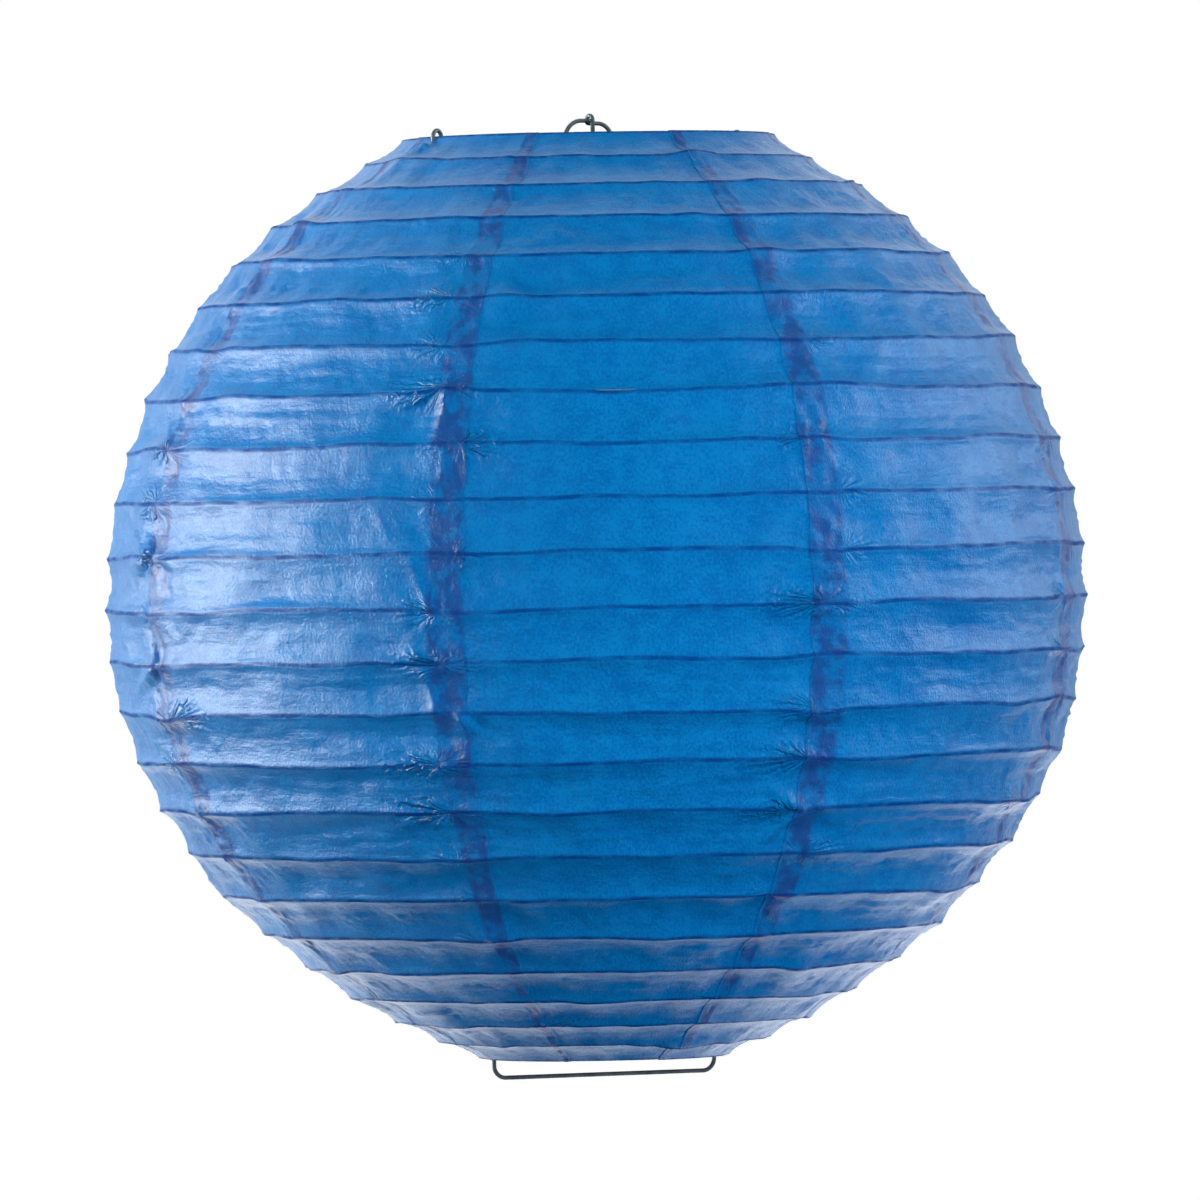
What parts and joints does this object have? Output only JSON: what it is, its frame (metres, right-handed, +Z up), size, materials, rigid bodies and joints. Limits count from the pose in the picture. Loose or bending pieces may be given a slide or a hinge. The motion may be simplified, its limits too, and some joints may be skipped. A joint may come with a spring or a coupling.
{
  "type": "paper lantern",
  "caption": "Round ribbed paper lantern: blue paper gores on level wire hoops, held open by a bent wire frame with a latched hanging arch.",
  "frame": {"origin": "under the top of the hanging arch, on the lantern's axis, where a hook bears", "axes": "+Z up along the lantern's axis, +X towards the ear at the hooked end of the frame wire"},
  "size_m": [0.4026, 0.4026, 0.394],
  "materials": {
    "blue_paper": "dyed tissue, finely crinkled, with a faint sheen",
    "frame_wire": "drawn wire, dull grey",
    "rim_wire": "drawn wire, dull grey",
    "rib_wire": "thin drawn wire"
  },
  "bodies": {
    "hanging_frame": {"expander_frame": "frame_wire", "top_rim_hoop": "rim_wire", "paper_gore_1": "blue_paper", "paper_gore_2": "blue_paper", "paper_gore_3": "blue_paper", "paper_gore_4": "blue_paper", "paper_gore_5": "blue_paper", "paper_gore_6": "blue_paper", "paper_gore_7": "blue_paper", "paper_gore_8": "blue_paper"},
    "bottom_rim": {"bottom_rim_hoop": "rim_wire"},
    "rib_01": {"rib_hoop_01": "rib_wire"},
    "rib_02": {"rib_hoop_02": "rib_wire"},
    "rib_03": {"rib_hoop_03": "rib_wire"},
    "rib_04": {"rib_hoop_04": "rib_wire"},
    "rib_05": {"rib_hoop_05": "rib_wire"},
    "rib_06": {"rib_hoop_06": "rib_wire"},
    "rib_07": {"rib_hoop_07": "rib_wire"},
    "rib_08": {"rib_hoop_08": "rib_wire"},
    "rib_09": {"rib_hoop_09": "rib_wire"},
    "rib_10": {"rib_hoop_10": "rib_wire"},
    "rib_11": {"rib_hoop_11": "rib_wire"},
    "rib_12": {"rib_hoop_12": "rib_wire"},
    "rib_13": {"rib_hoop_13": "rib_wire"},
    "rib_14": {"rib_hoop_14": "rib_wire"},
    "rib_15": {"rib_hoop_15": "rib_wire"},
    "rib_16": {"rib_hoop_16": "rib_wire"},
    "rib_17": {"rib_hoop_17": "rib_wire"},
    "rib_18": {"rib_hoop_18": "rib_wire"},
    "rib_19": {"rib_hoop_19": "rib_wire"},
    "rib_20": {"rib_hoop_20": "rib_wire"},
    "rib_21": {"rib_hoop_21": "rib_wire"},
    "rib_22": {"rib_hoop_22": "rib_wire"}
  },
  "joints": [
    {"name": "collapse", "type": "slide", "parent": "hanging_frame", "child": "bottom_rim", "axis": [0, 0, 1], "range_m": [0, 0.33585], "deforming": ["paper_gore_1", "paper_gore_2", "paper_gore_3", "paper_gore_4", "paper_gore_5", "paper_gore_6", "paper_gore_7", "paper_gore_8"]},
    {"name": "rib_01_rise", "type": "slide", "parent": "hanging_frame", "child": "rib_01", "axis": [0, 0, 1], "range_m": [0, 0.00845]},
    {"name": "rib_02_rise", "type": "slide", "parent": "hanging_frame", "child": "rib_02", "axis": [0, 0, 1], "range_m": [0, 0.01878]},
    {"name": "rib_03_rise", "type": "slide", "parent": "hanging_frame", "child": "rib_03", "axis": [0, 0, 1], "range_m": [0, 0.03088]},
    {"name": "rib_04_rise", "type": "slide", "parent": "hanging_frame", "child": "rib_04", "axis": [0, 0, 1], "range_m": [0, 0.0446]},
    {"name": "rib_05_rise", "type": "slide", "parent": "hanging_frame", "child": "rib_05", "axis": [0, 0, 1], "range_m": [0, 0.05979]},
    {"name": "rib_06_rise", "type": "slide", "parent": "hanging_frame", "child": "rib_06", "axis": [0, 0, 1], "range_m": [0, 0.07626]},
    {"name": "rib_07_rise", "type": "slide", "parent": "hanging_frame", "child": "rib_07", "axis": [0, 0, 1], "range_m": [0, 0.09381]},
    {"name": "rib_08_rise", "type": "slide", "parent": "hanging_frame", "child": "rib_08", "axis": [0, 0, 1], "range_m": [0, 0.11225]},
    {"name": "rib_09_rise", "type": "slide", "parent": "hanging_frame", "child": "rib_09", "axis": [0, 0, 1], "range_m": [0, 0.13135]},
    {"name": "rib_10_rise", "type": "slide", "parent": "hanging_frame", "child": "rib_10", "axis": [0, 0, 1], "range_m": [0, 0.1509]},
    {"name": "rib_11_rise", "type": "slide", "parent": "hanging_frame", "child": "rib_11", "axis": [0, 0, 1], "range_m": [0, 0.17056]},
    {"name": "rib_12_rise", "type": "slide", "parent": "hanging_frame", "child": "rib_12", "axis": [0, 0, 1], "range_m": [0, 0.18926]},
    {"name": "rib_13_rise", "type": "slide", "parent": "hanging_frame", "child": "rib_13", "axis": [0, 0, 1], "range_m": [0, 0.20773]},
    {"name": "rib_14_rise", "type": "slide", "parent": "hanging_frame", "child": "rib_14", "axis": [0, 0, 1], "range_m": [0, 0.22574]},
    {"name": "rib_15_rise", "type": "slide", "parent": "hanging_frame", "child": "rib_15", "axis": [0, 0, 1], "range_m": [0, 0.24308]},
    {"name": "rib_16_rise", "type": "slide", "parent": "hanging_frame", "child": "rib_16", "axis": [0, 0, 1], "range_m": [0, 0.25954]},
    {"name": "rib_17_rise", "type": "slide", "parent": "hanging_frame", "child": "rib_17", "axis": [0, 0, 1], "range_m": [0, 0.27494]},
    {"name": "rib_18_rise", "type": "slide", "parent": "hanging_frame", "child": "rib_18", "axis": [0, 0, 1], "range_m": [0, 0.28908]},
    {"name": "rib_19_rise", "type": "slide", "parent": "hanging_frame", "child": "rib_19", "axis": [0, 0, 1], "range_m": [0, 0.30181]},
    {"name": "rib_20_rise", "type": "slide", "parent": "hanging_frame", "child": "rib_20", "axis": [0, 0, 1], "range_m": [0, 0.31298]},
    {"name": "rib_21_rise", "type": "slide", "parent": "hanging_frame", "child": "rib_21", "axis": [0, 0, 1], "range_m": [0, 0.32244]},
    {"name": "rib_22_rise", "type": "slide", "parent": "hanging_frame", "child": "rib_22", "axis": [0, 0, 1], "range_m": [0, 0.3301]}
  ],
  "couplings": [
    {"joint": "rib_01_rise", "follows": "collapse", "ratio": 0.02515},
    {"joint": "rib_02_rise", "follows": "collapse", "ratio": 0.05592},
    {"joint": "rib_03_rise", "follows": "collapse", "ratio": 0.091946},
    {"joint": "rib_04_rise", "follows": "collapse", "ratio": 0.13281},
    {"joint": "rib_05_rise", "follows": "collapse", "ratio": 0.17802},
    {"joint": "rib_06_rise", "follows": "collapse", "ratio": 0.22705},
    {"joint": "rib_07_rise", "follows": "collapse", "ratio": 0.27932},
    {"joint": "rib_08_rise", "follows": "collapse", "ratio": 0.33422},
    {"joint": "rib_09_rise", "follows": "collapse", "ratio": 0.3911},
    {"joint": "rib_10_rise", "follows": "collapse", "ratio": 0.44929},
    {"joint": "rib_11_rise", "follows": "collapse", "ratio": 0.50782},
    {"joint": "rib_12_rise", "follows": "collapse", "ratio": 0.56353},
    {"joint": "rib_13_rise", "follows": "collapse", "ratio": 0.61852},
    {"joint": "rib_14_rise", "follows": "collapse", "ratio": 0.67214},
    {"joint": "rib_15_rise", "follows": "collapse", "ratio": 0.72376},
    {"joint": "rib_16_rise", "follows": "collapse", "ratio": 0.77278},
    {"joint": "rib_17_rise", "follows": "collapse", "ratio": 0.81862},
    {"joint": "rib_18_rise", "follows": "collapse", "ratio": 0.86074},
    {"joint": "rib_19_rise", "follows": "collapse", "ratio": 0.89864},
    {"joint": "rib_20_rise", "follows": "collapse", "ratio": 0.93188},
    {"joint": "rib_21_rise", "follows": "collapse", "ratio": 0.96006},
    {"joint": "rib_22_rise", "follows": "collapse", "ratio": 0.98286}
  ]
}
